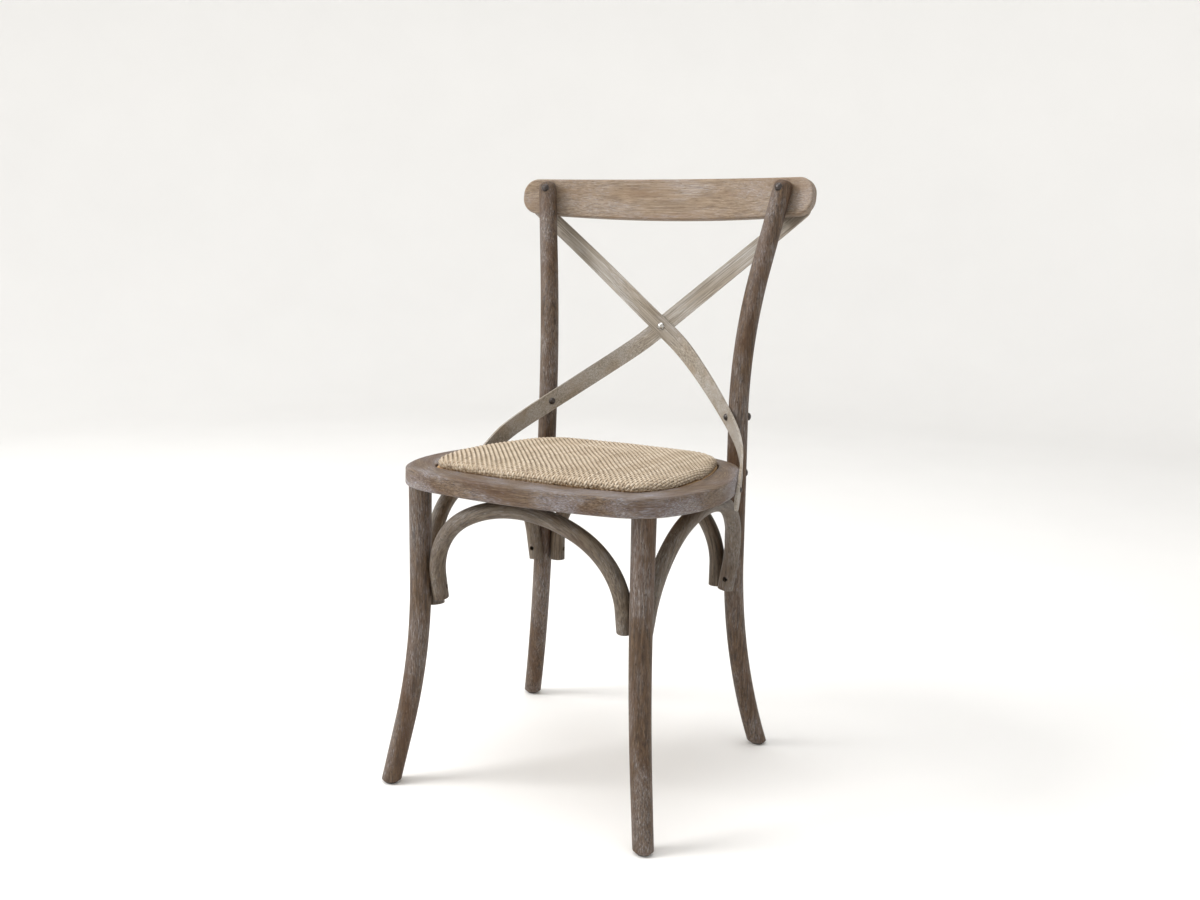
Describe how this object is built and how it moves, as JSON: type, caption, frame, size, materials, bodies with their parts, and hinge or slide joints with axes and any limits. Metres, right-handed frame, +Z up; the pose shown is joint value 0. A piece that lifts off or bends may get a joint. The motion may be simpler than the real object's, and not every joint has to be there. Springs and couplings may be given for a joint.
{
  "type": "cross back dining chair",
  "caption": "Wooden dining chair with bent rear legs, crossed back straps, a bowed top rail, a domed woven seat and hoops under it.",
  "frame": {"origin": "on the floor under the middle of the chair's box", "axes": "+Z up, the chair faces -Y, +X is the right-hand side as seen from the front"},
  "size_m": [0.49, 0.5135, 0.8785],
  "materials": {
    "dark_wood": "weathered brown-grey, whitewash in the grain",
    "washed_wood": "grey-brown with bluish whitewash",
    "pale_wood": "grey-beige, fine straight grain",
    "plywood": "raw plywood",
    "filling": "foam and fleece filling",
    "rattan": "natural woven rattan",
    "dark_steel": "oxidised black steel",
    "bright_steel": "bright steel",
    "glide_plastic": "dark nylon"
  },
  "bodies": {
    "root": {"rear_leg_left": "dark_wood", "rear_leg_right": "dark_wood", "front_leg_left": "dark_wood", "front_leg_right": "dark_wood", "seat_rim": "washed_wood", "seat_board": "plywood", "seat_pad": "filling", "seat_weave": "rattan", "top_rail": "pale_wood", "cross_strap_front": "pale_wood", "cross_strap_rear": "pale_wood", "front_arch": "dark_wood", "rear_arch": "dark_wood", "left_arch": "dark_wood", "right_arch": "dark_wood", "rail_bolts": "dark_steel", "rail_washers": "dark_steel", "rail_nuts": "dark_steel", "strap_post_bolts": "dark_steel", "strap_post_nuts": "dark_steel", "cross_rivet": "bright_steel", "rivet_washer": "bright_steel", "strap_seat_screws": "dark_steel", "strap_rail_screws": "dark_steel", "post_seat_bolts": "dark_steel", "post_seat_inserts": "bright_steel", "arch_leg_screws": "dark_steel", "arch_seat_screws": "dark_steel", "seat_board_screws": "bright_steel", "foot_glides": "glide_plastic"}
  },
  "joints": []
}
